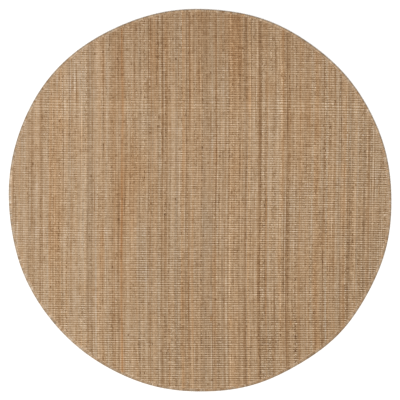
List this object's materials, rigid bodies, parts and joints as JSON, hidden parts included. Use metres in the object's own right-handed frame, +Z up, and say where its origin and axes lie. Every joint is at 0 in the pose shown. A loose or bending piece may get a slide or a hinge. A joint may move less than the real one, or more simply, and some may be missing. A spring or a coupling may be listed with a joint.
{
  "type": "round jute rug",
  "caption": "Round flatwoven jute rug, ribbed across, with streaked natural yarns and a narrow overcast edge, lying flat.",
  "frame": {"origin": "on the floor, at the middle of the rug's bounding box", "axes": "+Z up from the floor; the streaked yarns run along Y and the ribs and grooves along X"},
  "size_m": [1.995, 1.9936, 0.009],
  "materials": {
    "jute_weave": "matt, dry natural jute in streaks of straw, tan, olive-grey and orange-brown",
    "jute_edge": "matt jute yarn, wrapped over the rim"
  },
  "bodies": {
    "root": {"woven_cloth": "jute_weave", "overcast_edge": "jute_edge"}
  },
  "joints": []
}
